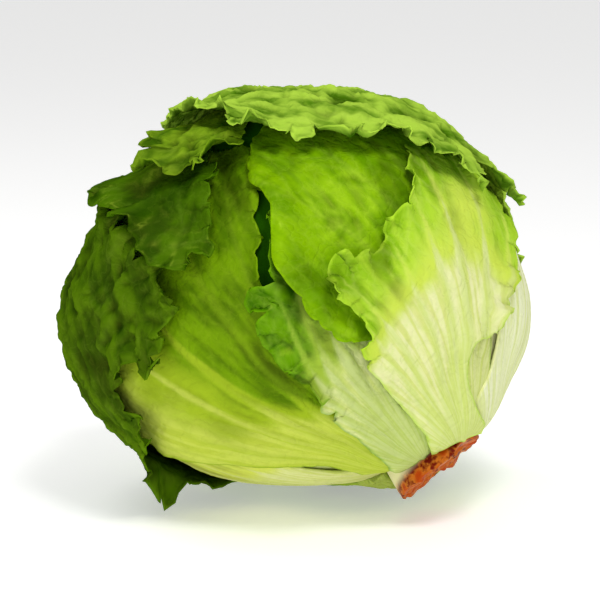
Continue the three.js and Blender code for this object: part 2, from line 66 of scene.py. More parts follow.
# The head, in millimetres from its centre and in degrees, as in the frame
HEART_HALF_SIZE = np.array([82.0, 71.5, 70.0])
HEART_BASE = 71.5  # to the flat that the stem comes out of
BASE_TILT = (9, 190)  # of that flat: its angle from the stem axis, and its azimuth
HEART_FLOOR = 63.5  # down to the flat that the head is pressed to
HEART_ROUNDING = 16
HEART_BOX_MIDDLE = np.array([0.36, -0.13, 70.06])  # and its top in Z
SLACK = 0.8  # how much further in the leaves lie than in the frame
SHOULDERS = [((-0.8, 0.1, 0.6), 69.0), ((0.9, 0.05, 0.44), 75.0)]  # flatter places: ways and distances
MEAN_RADIUS = 78.0
PRESSED_RADIUS = 27.0  # of the area that the head rests on
PRESSED_END = 1.6
PRESS_DROP = 2.4  # how far the underside is let down onto the floor
PRESS_DROP_END = 2.2
HEART_LEAVES = 5
HEART_OVERLAP = 0.8

# The stem
STEM_DROOP = 43.0  # of its axis from level
STEM_TURN = -34.7  # of its axis from +X, about Z
STEM_CONE = 11.8
STEM_INNER_END = 40.0
STEM_CUT_FACE = 82.0
STEM_WALL = [(1.0, -0.7), (0.99, -1.6), (0.985, -3), (0.95, -7), (0.9, -12)]  # shares of its radius; depths
CUT_DISH = 1.2
CUT_SLANT = 8.0
CUT_TURNED_FROM = np.array([0.0, -0.98, 0.17])
CUT_ROUGHNESS = [(2.6, 5.0, 20, 20), (1.3, 1.9, 40, 9)]  # heights, lengths and places in the noise

# The leaves' bases round the stem, pressed together and standing up to its cut
LEAF_BASE_ANGLE = 12.9
BASE_HALF_SPREAD = 37.0
NESTLED = 0.32  # the share that is left of a base's height
BASE_RISE = 7.0
BASE_RISE_SIDE = 30.0  # the azimuth towards which they stand up

# How a leaf lies on what is below it
GAP = 0.5
REACH = 5.0
SUPPORT_STEP = 3.0
TIGHTENING_ROUNDS = 4
COVER_STEPS = 112
BLADE_THICKNESS = 0.7
MARGIN_THICKNESS = 0.28
BASE_THICKNESS = 1.4
THICK_LENGTH = 55.0

# How finely leaves are divided
OUTLINE_STEP = 1.0
SHOWN_STEP = 1.15
HIDDEN_STEP = 3.6
ROW_RATIO = 0.866
VEIN_STEP = 0.6
DISTANCE_STEP = 2.0
FAR_OFF = -99.0
POINTS_AT_ONCE = 4000

# Margins, in millimetres: lobes and teeth have a height, a length and a row of the noise
LOBES = (3.0, 15.0, 3.3)
SMALL_LOBES = (2.6, 6.5, 13.7)
TEETH = (0.6, 2.7, 31.9)
FRILL_WIDTH = 15.0
FRILL_HEIGHT = 2.2
LONG_WAVES = (17.0, 26.0, 50.5)  # how long they are, how soon that changes, and a row of the noise
SHORT_WAVES = (7.0, 12.0, 55.5)
GUSTS = (19.0, 71.5, 0.25, 0.8)  # their length, a row of the noise, and where they start and are full
CURLS = (6.5, 75.5, 0.42, 0.8)
CURL_WIDTH = 6.5
CURL_TURN = 2.1

# Blisters have a height, a length, a place in the noise and a sharpness. Folds have a height, a number to a
# radian, how soon they change outwards, a row of the noise and a sharpness.
BLISTERS = [(1.7, 9.0, 0, 0, 0), (1.5, 6.0, 0, 9, 1.5), (0.85, 3.4, 2, 0, 1.4)]
GRAIN = (0.25, 1.6, 0, 5, 0)
BLISTERS_HIGHEST = 4.6
FOLDS = [(1.9, 8, 1.0, 3, 0), (1.2, 19, 1.0, 9, 1.4), (0.5, 42, 1.5, 0, 1.4)]
FOLDS_HIGHEST = 3.6

# Veins, in millimetres and degrees
PATH_STEP = 0.7
RIBS = 11
SIDE_VEIN_ANGLES = (32, 52)
SIDE_VEIN_WIDTH = 1.15
FINE_VEIN_STEP = 5.5
FINE_VEIN_ANGLES = (40, 65)
FINE_VEIN_WIDTH = 0.7
STAMP_WIDTHS = (0, 1.0, 2.2, 9)
VEIN_HEIGHT = 0.3

# Stretches of margin that lie close and smooth: the leaf, the middle of the stretch, and how far round it
CALM = [
    ("leaf_left_ribbed", (60, 124), 34.0),
    ("leaf_left_ribbed", (30, 112), 20.0),
]

# Tips that hang free: the leaf, the place on it, how far round it is pulled, and the pull in X, Y and Z
PULLS = [
    ("leaf_left_lower", (74, 132), 5.0, (-1.0, -2.5, -5.0)),
    ("leaf_left_lower", (71, 142), 3.6, (-0.5, -3.0, -9.0)),
]

# What most leaves share
PLAIN = dict(lift=0.3, curl=1, lean=0, veins=0.25, turns=(0.1, 0.4), pale=(190, 205, 110))

# The leaves from the innermost to the outermost. Points of a margin are (angle from the stem axis, azimuth
# about it). lift, frill, ragged and curl are how far it stands off, waves, is torn and rolls back, and
# crinkle and folds how high those are. A leaf turns from pale to between light and dark over turns, shares
# of the way to the margin. lean makes one side greener and the other paler: on leaf_left_ribbed partly its
# own paler lower side and partly painted light on that side, which faces down into shade. veins is how
# clearly they show.
LEAVES = [
    dict(
        name="leaf_right_inner", base=-26, lift=0.2, frill=0.3, ragged=0.5, curl=0, crinkle=0.05,
        folds=0.25, veins=0.3, pale=(243, 240, 200), light=(205, 220, 120), dark=(180, 200, 80),
        turns=(0.95, 1.3),
        margin=[
            (24, 20), (50, 26), (78, 22), (100, 8), (110, -20), (106, -55), (85, -80), (55, -88), (26, -74),
        ],
    ),
    dict(
        name="leaf_under", base=160, frill=0.4, ragged=0.5, curl=0, crinkle=0.08, folds=0.3, veins=0.3,
        pale=(228, 230, 165), light=(190, 205, 85), dark=(155, 178, 45), turns=(0.45, 0.9),
        margin=[
            (24, 204), (55, 210), (90, 206), (116, 188), (124, 160), (113, 134), (85, 119), (55, 114),
            (26, 122),
        ],
    ),
    dict(
        name="leaf_back_inner", base=-128, frill=0.4, ragged=0.5, curl=0.2, crinkle=0.2, folds=0.4,
        veins=0.3, pale=(225, 228, 160), light=(180, 200, 70), dark=(140, 170, 35), turns=(0.4, 0.8),
        margin=[
            (24, -84), (55, -80), (88, -86), (114, -104), (122, -130), (113, -156), (86, -172), (55, -176),
            (24, -170),
        ],
    ),
    dict(
        name="leaf_left_ribbed", base=90, frill=1.3, ragged=1.5, curl=0.7, crinkle=0.15, folds=0.5,
        lean=1.5, veins=0.22, pale=(206, 218, 92), light=(108, 148, 6), dark=(74, 112, 3),
        turns=(0.05, 0.5),
        margin=[
            (19, 119), (27, 111), (39, 112), (53, 118), (63, 125), (75, 133), (92, 138), (112, 132),
            (128, 112), (136, 90), (134, 66), (128, 52), (118, 42), (112, 42), (106, 43), (102, 46),
            (97, 51), (91, 55), (86, 59), (80, 63), (72, 64), (60, 62), (40, 66), (22, 64),
        ],
    ),
    dict(
        name="leaf_front", base=66, frill=1.8, ragged=2.2, crinkle=0.55, folds=0.25, veins=0.4,
        pale=(228, 234, 165), light=(94, 146, 4), dark=(40, 94, 1), turns=(0.42, 0.9),
        margin=[
            (18, 92), (24, 86), (38, 81), (46, 80), (54, 79), (60, 78), (66, 76), (70, 76), (75, 73),
            (80, 70), (82, 64), (86, 56), (97, 46), (108, 36), (112, 22), (98, 10), (74, 14), (50, 24),
            (30, 30), (20, 36),
        ],
    ),
    dict(
        name="leaf_front_upper", base=12, lift=2, frill=0.3, ragged=0.6, curl=0.15, crinkle=0.2, folds=0.3,
        veins=0.22, pale=(232, 234, 170), light=(130, 176, 4), dark=(100, 148, 2), turns=(0.2, 0.45),
        margin=[
            (22, 36), (40, 42), (52, 50), (56, 57), (60, 59), (66, 60), (72, 59), (82, 58), (87, 56),
            (97, 50), (101, 49), (105, 50), (109, 48), (114, 44), (120, 38), (126, 24), (119, 0),
            (102, -14), (80, -14), (60, -6), (42, 0), (22, -10),
        ],
    ),
    dict(
        name="leaf_right_outer", base=-52, lift=0.1, frill=0.2, ragged=0.2, curl=0, crinkle=0.03, folds=0.2,
        veins=0.3, pale=(243, 246, 210), light=(222, 234, 145), dark=(200, 218, 100), turns=(0.9, 1.3),
        margin=[
            (18, 0), (22, 7), (29, -3), (47, -3), (59, -11), (70, -24), (82, -42), (97, -62), (108, -86),
            (98, -118), (72, -132), (45, -136), (22, -104),
        ],
    ),
    dict(
        name="leaf_front_pale", base=18, lift=0.2, frill=1.4, ragged=1.8, curl=0.8, crinkle=0.2, folds=0.4,
        veins=0.45, pale=(236, 238, 178), light=(168, 206, 50), dark=(128, 178, 16), turns=(0.55, 0.9),
        margin=[
            (19, 52), (35, 55), (49, 55), (57, 53), (66, 52), (73, 50), (75, 42), (72, 38), (72, 31),
            (78, 25), (83, 18), (91, 8), (90, -5), (84, -16), (77, -21), (72, -20), (60, -14), (49, -9),
            (43, -4), (39, 2), (39, 12), (30, 16), (21, 10), (16, -8),
        ],
    ),
    dict(
        name="leaf_back_outer", base=-125, lift=0.5, frill=1, ragged=1, curl=0.6, crinkle=0.6, folds=0.2,
        pale=(215, 225, 140), light=(112, 150, 20), dark=(76, 116, 8), turns=(0.25, 0.7),
        margin=[
            (22, -92), (45, -98), (75, -100), (106, -108), (126, -136), (118, -162), (92, -168), (55, -165),
            (22, -155),
        ],
    ),
    dict(
        name="leaf_left_lower", base=212, frill=1.6, ragged=2.4, crinkle=1.05, folds=0.2, veins=0.2,
        light=(74, 110, 5), dark=(32, 66, 2),
        margin=[
            (22, 244), (50, 240), (85, 232), (118, 224), (145, 204), (158, 150), (150, 108), (130, 88),
            (112, 80), (99, 82), (92, 83), (90, 86), (86, 90), (81, 96), (86, 101), (92, 106), (92, 112),
            (88, 116), (83, 118), (77, 123), (75, 134), (71, 145), (64, 151), (56, 160), (48, 168),
            (22, 180),
        ],
    ),
    dict(
        name="leaf_left_middle", base=224, lift=0.2, frill=1.3, ragged=2, curl=0.9, crinkle=0.65, folds=0.6,
        light=(64, 102, 3), dark=(34, 70, 2),
        margin=[
            (22, 254), (50, 244), (95, 224), (130, 212), (156, 170), (156, 100), (142, 62), (125, 52),
            (112, 54), (105, 62), (99, 65), (95, 69), (95, 74), (97, 77), (102, 81), (112, 83), (123, 87),
            (134, 91), (148, 97), (158, 135), (142, 172), (118, 182), (75, 192), (45, 198), (24, 194),
        ],
    ),
    dict(
        name="leaf_crown_left", base=192, frill=1.5, ragged=2.4, crinkle=1.1, folds=0.25,
        light=(120, 154, 26), dark=(54, 94, 5),
        margin=[
            (22, 226), (50, 234), (85, 236), (120, 230), (150, 228), (168, -60), (156, -10), (140, 20),
            (126, 36), (118, 43), (113, 45), (112, 50), (111, 54), (111, 57), (111, 60), (115, 62),
            (117, 65), (123, 70), (130, 71), (139, 67), (152, 68), (166, 100), (163, 175), (145, 190),
            (118, 186), (88, 176), (50, 166), (22, 160),
        ],
    ),
    dict(
        name="leaf_crown", base=-116, frill=1.5, ragged=2.4, crinkle=1.2, folds=0.25, pale=(200, 212, 120),
        light=(166, 202, 66), dark=(66, 114, 5),
        margin=[
            (22, -90), (45, -84), (60, -76), (69, -60), (75, -44), (77, -30), (72, -18), (69, -13),
            (75, -14), (81, -10), (76, -2), (72, 1), (78, 3), (83, 4), (86, 7), (90, 13), (93, 19),
            (96, 25), (101, 27), (104, 31), (107, 35), (111, 39), (115, 44), (119, 47), (124, 48),
            (134, 47), (148, 50), (163, 50), (165, -150), (135, -132), (100, -124), (60, -120), (22, -138),
        ],
    ),
]


def unit(v):
    return v / np.linalg.norm(v, axis=-1, keepdims=True)


AXIS = np.array([
    math.cos(STEM_DROOP * RAD) * math.cos(STEM_TURN * RAD),
    math.cos(STEM_DROOP * RAD) * math.sin(STEM_TURN * RAD),
    -math.sin(STEM_DROOP * RAD),
])
UPWARD = unit(np.array([0.0, 0.0, 1.0]) - AXIS * AXIS[2])
LEFTWARD = np.cross(AXIS, UPWARD)
DOWN = np.array([0.0, 0.0, -1.0])
FRONT = np.array([0.0, -1.0, 0.0])


def direction(angle, azimuth):
    """The direction from the head's centre at an angle from the stem axis and an azimuth about it"""
    angle = np.asarray(angle, float)[..., None] * RAD
    azimuth = np.asarray(azimuth, float)[..., None] * RAD
    return np.cos(angle) * AXIS + np.sin(angle) * (np.cos(azimuth) * UPWARD + np.sin(azimuth) * LEFTWARD)


def smoothstep(x, start, end):
    t = np.clip((x - start) / (end - start), 0, 1)
    return t * t * (3 - 2 * t)


def ridged(value, sharpness):
    """Ridges where a value from 0 to 1 is a half, or the value itself where the sharpness is 0"""
    return (1 - np.abs(2 * value - 1)) ** sharpness if sharpness else value


def angle_between(d, axis):
    return np.arccos(np.clip(d @ axis, -1, 1))


BASE_NORMAL = direction(*BASE_TILT)
BASE_RISE_WAY = direction(90, BASE_RISE_SIDE)


def heart_radius(d):
    """The radius that the leaves are laid on: an ellipsoid, with flats where the stem comes out, where it is
    pressed, and on its shoulders"""
    limits = [np.linalg.norm(d / HEART_HALF_SIZE, axis=-1)]
    limits += [d @ BASE_NORMAL / HEART_BASE, d @ DOWN / HEART_FLOOR]
    limits += [d @ unit(np.array(way)) / out for way, out in SHOULDERS]
    total = sum(np.maximum(0, limit) ** HEART_ROUNDING for limit in limits)
    return total ** (-1 / HEART_ROUNDING) - SLACK


def near_floor(d, end):
    """1 where the head is pressed to the floor, down to 0 at so many times the radius of that area"""
    below = angle_between(d, DOWN) * MEAN_RADIUS
    return 1 - smoothstep(below, PRESSED_RADIUS, end * PRESSED_RADIUS)


def nestled(d, height):
    """Heights above the heart, changed where leaves come out of the stem"""
    angle = angle_between(d, AXIS) / RAD
    share = NESTLED + (1 - NESTLED) * smoothstep(angle, 24, 64)
    side = 0.1 + 0.9 * smoothstep(d @ BASE_RISE_WAY, -0.08, 0.16)
    return share * height + BASE_RISE * side * (1 - smoothstep(angle, 12, 34))


class Noise:
    """Smooth noise from 0 to 1 over a plane, the same on every run"""

    def __init__(self, seed, size=97):
        self.size = size
        self.values = np.random.default_rng(seed).random((size, size))

    def at(self, column, row):
        return self.values[row % self.size, column % self.size]

    def __call__(self, x, y):
        x, y = np.broadcast_arrays(np.asarray(x, float), np.asarray(y, float))
        column, row = np.floor(x).astype(int), np.floor(y).astype(int)
        fx, fy = x - column, y - row
        fx, fy = fx * fx * (3 - 2 * fx), fy * fy * (3 - 2 * fy)
        low = self.at(column, row) * (1 - fx) + self.at(column + 1, row) * fx
        high = self.at(column, row + 1) * (1 - fx) + self.at(column + 1, row + 1) * fx
        return low * (1 - fy) + high * fy


class Field:
    """Values on a square grid over a leaf's plane, read between its points"""

    def __init__(self, extent, step):
        self.count = int(2 * extent / step) + 2
        self.step = step
        self.low = -extent
        self.values = np.zeros((self.count, self.count))

    def places(self):
        axis = self.low + self.step * np.arange(self.count)
        x, y = np.meshgrid(axis, axis)
        return np.stack([x.ravel(), y.ravel()], -1)

    def fill(self, values):
        self.values = np.asarray(values).reshape(self.count, self.count)
        return self

    def read(self, p):
        q = np.clip((p - self.low) / self.step, 0, self.count - 1.001)
        cell = q.astype(int)
        fx, fy = (q - cell).T
        i, j = cell.T
        v = self.values
        low = v[j, i] * (1 - fx) + v[j, i + 1] * fx
        high = v[j + 1, i] * (1 - fx) + v[j + 1, i + 1] * fx
        return low * (1 - fy) + high * fy

    def blurred(self, rounds):
        v = self.values
        for _ in range(rounds):
            v = np.pad(v, 1, mode="edge")
            v = 0.25 * v[:-2] + 0.5 * v[1:-1] + 0.25 * v[2:]
            v = 0.25 * v[:, :-2] + 0.5 * v[:, 1:-1] + 0.25 * v[:, 2:]
        return v

    def stamp(self, place, width, widest):
        """Raises the field to veins, rounded across, along points of their paths"""
        cells = int(1.6 * widest / self.step) + 1
        home = np.round((place - self.low) / self.step).astype(int)
        for i in range(-cells, cells + 1):
            for j in range(-cells, cells + 1):
                at = home + (i, j)
                ok = ((at >= 0) & (at < self.count)).all(1)
                gap = np.linalg.norm(self.low + at[ok] * self.step - place[ok], axis=1)
                value = width[ok] * np.exp(-((gap / (0.55 * width[ok])) ** 2))
                np.maximum.at(self.values, (at[ok, 1], at[ok, 0]), value)


class Cover:
    """What has been laid so far, as heights above the heart in cells on the faces of a cube round the
    centre"""

    def __init__(self):
        self.cells = np.zeros(6 * COVER_STEPS * COVER_STEPS)

    def index(self, d):
        size = np.abs(d)
        axis = size.argmax(1)
        each = np.arange(len(d))
        face = 2 * axis + (d[each, axis] < 0)
        place = [(d[each, (axis + k) % 3] / size[each, axis] + 1) * 0.5 * COVER_STEPS for k in (1, 2)]
        row, column = np.minimum(COVER_STEPS - 1, np.array(place).astype(int))
        return (face * COVER_STEPS + row) * COVER_STEPS + column

    def pile(self, d, height):
        np.maximum.at(self.cells, self.index(d), height)

    def highest(self, d, reach):
        """The highest value within a distance of each direction, in rings of samples"""
        side = unit(np.cross(np.roll(d, 1, axis=1), d))
        other = np.cross(d, side)
        best = self.cells[self.index(d)]
        for share in (0.33, 0.66, 1.0):
            angle = share * reach / MEAN_RADIUS
            for k in range(10):
                turn = (k + share) * 36 * RAD
                sideways = math.cos(turn) * side + math.sin(turn) * other
                near = math.cos(angle) * d + math.sin(angle) * sideways
                best = np.maximum(best, self.cells[self.index(near)])
        return best


def curve_through(points, step):
    """A smooth line through points of a plane, at even steps along it"""
    ends = np.vstack([2 * points[0] - points[1], points, 2 * points[-1] - points[-2]])
    spans = []
    for a, b, c, d in zip(ends[:-3], ends[1:-2], ends[2:-1], ends[3:]):
        ta, tb, tc = (math.sqrt(np.linalg.norm(q - p)) for p, q in ((a, b), (b, c), (c, d)))
        leave = (b - a) / ta - (c - a) / (ta + tb) + (c - b) / tb
        arrive = (c - b) / tb - (d - b) / (tb + tc) + (d - c) / tc
        t = np.linspace(0, 1, 40, endpoint=False)[:, None]
        spans.append(
            (2 * t**3 - 3 * t**2 + 1) * b
            + (t**3 - 2 * t**2 + t) * leave * tb
            + (3 * t**2 - 2 * t**3) * c
            + (t**3 - t**2) * arrive * tb
        )
    line = np.vstack([*spans, points[-1:]])
    along = np.concatenate([[0], np.cumsum(np.linalg.norm(np.diff(line, axis=0), axis=1))])
    even = np.linspace(0, along[-1], int(along[-1] / step) + 1)
    return np.stack([np.interp(even, along, line[:, k]) for k in (0, 1)], -1), even


def nearest(p, line):
    """For each place the nearest of a line's points: its number and how far it is"""
    number = np.empty(len(p), int)
    distance = np.empty(len(p))
    for start in range(0, len(p), POINTS_AT_ONCE):
        chunk = slice(start, start + POINTS_AT_ONCE)
        part = p[chunk]
        square = (part**2).sum(1)[:, None] - 2 * part @ line.T + (line**2).sum(1)
        best = square.argmin(1)
        number[chunk] = best
        distance[chunk] = np.sqrt(np.maximum(0, square[np.arange(len(part)), best]))
    return number, distance


def is_inside(p, loop):
    inside = np.zeros(len(p), bool)
    for a, b in zip(loop, np.roll(loop, -1, axis=0)):
        if a[1] == b[1]:
            continue
        crosses = (a[1] > p[:, 1]) != (b[1] > p[:, 1])
        inside ^= crosses & (p[:, 0] < a[0] + (b[0] - a[0]) * (p[:, 1] - a[1]) / (b[1] - a[1]))
    return inside


class Veins:
    """A leaf's veins, each a path with its widths: ribs that fan out from the base, side veins that leave
    them and bend to the margin, and finer ones that leave these"""

    def __init__(self, leaf):
        self.leaf = leaf
        self.random = np.random.default_rng(leaf.number)
        self.paths = []
        lines = [self.rib(k) for k in range(RIBS)]
        self.ribs = list(self.paths)
        for k, line in enumerate(lines):
            heading = np.unwrap(np.arctan2(*np.gradient(line, axis=0).T[::-1]))
            for side in (1, -1):
                neighbour = lines[k + side] if 0 <= k + side < RIBS else None
                self.side_veins(line, heading, side, neighbour)

    def rib(self, k):
        leaf = self.leaf
        u = (k + 0.5 + self.random.uniform(-0.15, 0.15)) / RIBS
        azimuth = leaf.facts["base"] + BASE_HALF_SPREAD * (1 - 2 * u)
        angles = [LEAF_BASE_ANGLE, LEAF_BASE_ANGLE + 8]
        start, ahead = leaf.flat(direction(angles, [azimuth, azimuth]))
        end = leaf.smooth_margin[int((0.08 + 0.84 * u) * (len(leaf.smooth_margin) - 1))]
        length = np.linalg.norm(end - start)
        bend = start + unit(ahead - start) * 0.55 * length
        t = np.linspace(0, 1, int(length / PATH_STEP))[:, None]
        line = (1 - t) ** 2 * start + 2 * t * (1 - t) * bend + t**2 * end
        side = unit(np.gradient(line, axis=0))[:, ::-1] * (-1, 1)
        wander = 3 * (leaf.noise(t[:, 0] * 6, 40.5 + k) - 0.5) * t[:, 0]
        line = line + side * wander[:, None]
        middle = 1 - abs(2 * u - 1)
        self.paths.append((line, (1.7 + 3.0 * middle**2) * (1 - t[:, 0]) ** 1.2 + 0.8))
        return line

    def side_veins(self, line, heading, side, neighbour):
        """The veins on one side of a rib, up to the next rib, and the finer ones on them"""
        random = self.random
        at = int(random.uniform(14, 22))
        while at < len(line) - 8:
            room = 14.0
            if neighbour is not None:
                share = at / len(line)
                room = np.linalg.norm(neighbour[int(share * (len(neighbour) - 1))] - line[at])
            angle = random.uniform(*SIDE_VEIN_ANGLES) * RAD
            turned = -side * angle
            length = min(34, 0.9 * room / math.sin(angle))
            way = heading[at] + turned
            path, angles = self.branch(line[at], way, length, -0.6 * turned, SIDE_VEIN_WIDTH)
            for n in range(int(length / FINE_VEIN_STEP)):
                along = (n + random.uniform(0.4, 1)) * FINE_VEIN_STEP
                j = min(len(path) - 1, int(along / PATH_STEP))
                turned_on = random.choice((-1, 1)) * random.uniform(*FINE_VEIN_ANGLES) * RAD
                fine = random.uniform(4, 8)
                self.branch(path[j], angles[j] + turned_on, fine, -0.4 * turned_on, FINE_VEIN_WIDTH)
            at += int(random.uniform(8, 13) / PATH_STEP)

    def branch(self, start, heading, length, turn, width):
        """A vein that leaves another, bends and grows thinner"""
        steps = max(3, int(length / PATH_STEP))
        t = np.linspace(0, 1, steps)
        wander = 0.25 * np.cumsum(self.random.normal(0, 0.25, steps)) * math.sqrt(PATH_STEP / 5)
        angles = heading + turn * t + wander
        path = start + np.cumsum(np.stack([np.cos(angles), np.sin(angles)], -1), 0) * (length / steps)
        self.paths.append((path, width * (1 - 0.55 * t)))
        return path, angles


class Leaf:
    """A wrapper leaf. Its own flat coordinates are millimetres along the surface from the middle of its
    blade: y away from the stem, and x to its right."""

    def __init__(self, number, facts):
        self.number = number
        self.facts = facts
        self.name = facts["name"]
        places = np.array(facts["margin"], float)
        dirs = direction(places[:, 0], places[:, 1])
        self.middle = unit(dirs.sum(0) + direction(LEAF_BASE_ANGLE, facts["base"]))
        self.away = unit(self.middle * (self.middle @ AXIS) - AXIS)
        self.across = np.cross(self.away, self.middle)
        self.noise = Noise(100 + number)
        self.smooth_margin, self.along = curve_through(self.flat(dirs), OUTLINE_STEP)
        self.tangent = unit(np.gradient(self.smooth_margin, axis=0))
        self.outline = self.ragged_outline()
        self.base_middle = self.base_line(3)[1]
        self.extent = np.abs(self.outline).max() + 3
        self.reach_in = self.distance_inside()
        veins = Veins(self)
        self.ridges = self.stamped(veins.paths)
        self.ribs = self.stamped(veins.ribs)
        self.near_veins = Field(self.extent, VEIN_STEP).fill(self.ridges.blurred(6))

    def flat(self, d):
        angle = angle_between(d, self.middle)
        tangent = unit(d - np.outer(d @ self.middle, self.middle))
        return (angle * MEAN_RADIUS)[:, None] * np.stack([tangent @ self.across, tangent @ self.away], -1)

    def direction(self, p):
        length = np.linalg.norm(p, axis=1)
        angle = length / MEAN_RADIUS
        heading = p / np.maximum(length, 1e-9)[:, None]
        return (
            np.cos(angle)[:, None] * self.middle
            + np.sin(angle)[:, None] * (heading[:, :1] * self.across + heading[:, 1:] * self.away)
        )

    def base_line(self, count):
        spread = np.linspace(-BASE_HALF_SPREAD, BASE_HALF_SPREAD, count)
        return self.flat(direction(np.full(count, LEAF_BASE_ANGLE), self.facts["base"] + spread))

    def free(self, d):
        """From 0 where the margin lies close to 1 where it can lift"""
        free = smoothstep(angle_between(d, AXIS) / RAD, 28, 50)
        facing = d @ FRONT
        front, back = smoothstep(facing, 0.1, 0.42), smoothstep(-facing, 0.1, 0.42)
        free = free * (0.15 + 0.85 * front + 0.3 * back)
        for name, place, reach in CALM:
            if name == self.name:
                gap = angle_between(d, direction(*place)) * MEAN_RADIUS
                free = free * (1 - np.exp(-((gap / reach) ** 4)))
        return free

    def swing(self, s, height, length, row):
        """A smooth swing to both sides along the margin"""
        return height * (self.noise(s / length, row) - 0.5)

    def ragged_outline(self):
        """The margin with lobes, teeth and notches, then the base"""
        s = self.along
        lobes = self.swing(s, *LOBES) + self.swing(s, *SMALL_LOBES)
        notches = ridged(self.noise(s / 8, 23.1), 5)
        teeth = self.swing(s, *TEETH) - 2.0 * notches
        depth = self.free(self.direction(self.smooth_margin)) * self.facts["ragged"] * (lobes + teeth)
        outward = np.stack([-self.tangent[:, 1], self.tangent[:, 0]], -1)
        return np.vstack([self.smooth_margin + depth[:, None] * outward, self.base_line(24)])

    def distance_inside(self):
        """A field of the distance to the outline, negative outside it"""
        field = Field(self.extent, DISTANCE_STEP)
        p = field.places()
        distance = nearest(p, self.outline)[1]
        return field.fill(np.where(is_inside(p, self.outline[::2]), distance, -distance))

    def stamped(self, paths):
        """A field of the veins' height, stamped in groups of like width"""
        field = Field(self.extent, VEIN_STEP)
        place = np.vstack([path for path, _ in paths])
        width = np.concatenate([widths for _, widths in paths])
        for low, high in zip(STAMP_WIDTHS, STAMP_WIDTHS[1:]):
            chosen = (width >= low) & (width < high)
            if chosen.any():
                widest = high if high < STAMP_WIDTHS[-1] else width[chosen].max()
                field.stamp(place[chosen], width[chosen], widest)
        return field

    def under(self, later):
        """A field of how deep each place lies under the leaves laid later, negative where it shows"""
        field = Field(self.extent, DISTANCE_STEP)
        p = field.places()
        d = self.direction(p)
        depth = np.full(len(p), FAR_OFF)
        for leaf in later:
            q = leaf.flat(d)
            inside = leaf.reach_in.read(q)
            off = (np.abs(q) > leaf.extent).any(1)
            depth = np.maximum(depth, np.where(off, FAR_OFF, inside))
        self.hidden = field.fill(depth)

    def lie_on(self, cover):
        """Finds what the leaf lies on, drawn tight over hollows"""
        field = Field(self.extent, SUPPORT_STEP)
        d = self.direction(field.places())
        support = cover.highest(d, REACH).reshape(field.count, field.count) + GAP
        field.values = support
        for _ in range(TIGHTENING_ROUNDS):
            field.values = np.maximum(support, field.blurred(1))
        field.values = field.blurred(1)
        self.height = field

    def phase(self, s, length, drift_length, row):
        """The phase of waves along the margin, which drift so that no two are alike"""
        return 2 * math.pi * (s / length + 0.9 * self.noise(s / drift_length, row))

    def patches(self, s, length, row, start, end):
        """From 0 to 1 in patches along the margin"""
        return smoothstep(self.noise(s / length, row), start, end)

    def frill(self, s, margin):
        """The frill's long and short waves: how high they stand, and how far they lean along the margin"""
        long_wave = self.phase(s, *LONG_WAVES)
        short_wave = self.phase(s, *SHORT_WAVES)
        high = 0.7 * (0.5 + 0.5 * np.sin(long_wave)) ** 1.6 * margin**0.8
        high = high + 0.55 * (0.5 + 0.5 * np.sin(short_wave)) * margin**1.8
        lean = 0.6 * np.cos(2 * long_wave) + 0.3 * np.cos(2 * short_wave)
        return (0.25 + self.patches(s, *GUSTS)) * high, lean

    def curl(self, s, edge, loose):
        """How far in and up the margin comes where it rolls back over the blade"""
        turn = CURL_TURN * self.facts["curl"] * loose * self.patches(s, *CURLS) + 1e-3
        rolled = np.clip(CURL_WIDTH - edge, 0, CURL_WIDTH)
        radius = CURL_WIDTH / turn
        return rolled - radius * np.sin(rolled / radius), radius * (1 - np.cos(rolled / radius))

    def shape(self, p):
        """The inner surface and the thickness at flat places, and what the material needs to know there"""
        facts = self.facts
        d = self.direction(p)
        edge = np.maximum(0, self.reach_in.read(p))
        number, _ = nearest(p, self.smooth_margin[::2])
        s = self.along[::2][number]
        tangent = self.tangent[::2][number]
        pressed = near_floor(d, PRESSED_END)
        shown = 1 - smoothstep(self.hidden.read(p), -3, 5)
        free = self.free(d)
        loose = (1 - pressed) * shown * free
        margin = 1 - smoothstep(edge, 0, FRILL_WIDTH)

        frill, lean = self.frill(s, margin)
        lean = margin**2 * loose * facts["frill"] * lean
        curled, rise = self.curl(s, edge, loose)
        inward = np.stack([tangent[:, 1], -tangent[:, 0]], -1)
        moved = p + tangent * lean[:, None] + inward * curled[:, None]

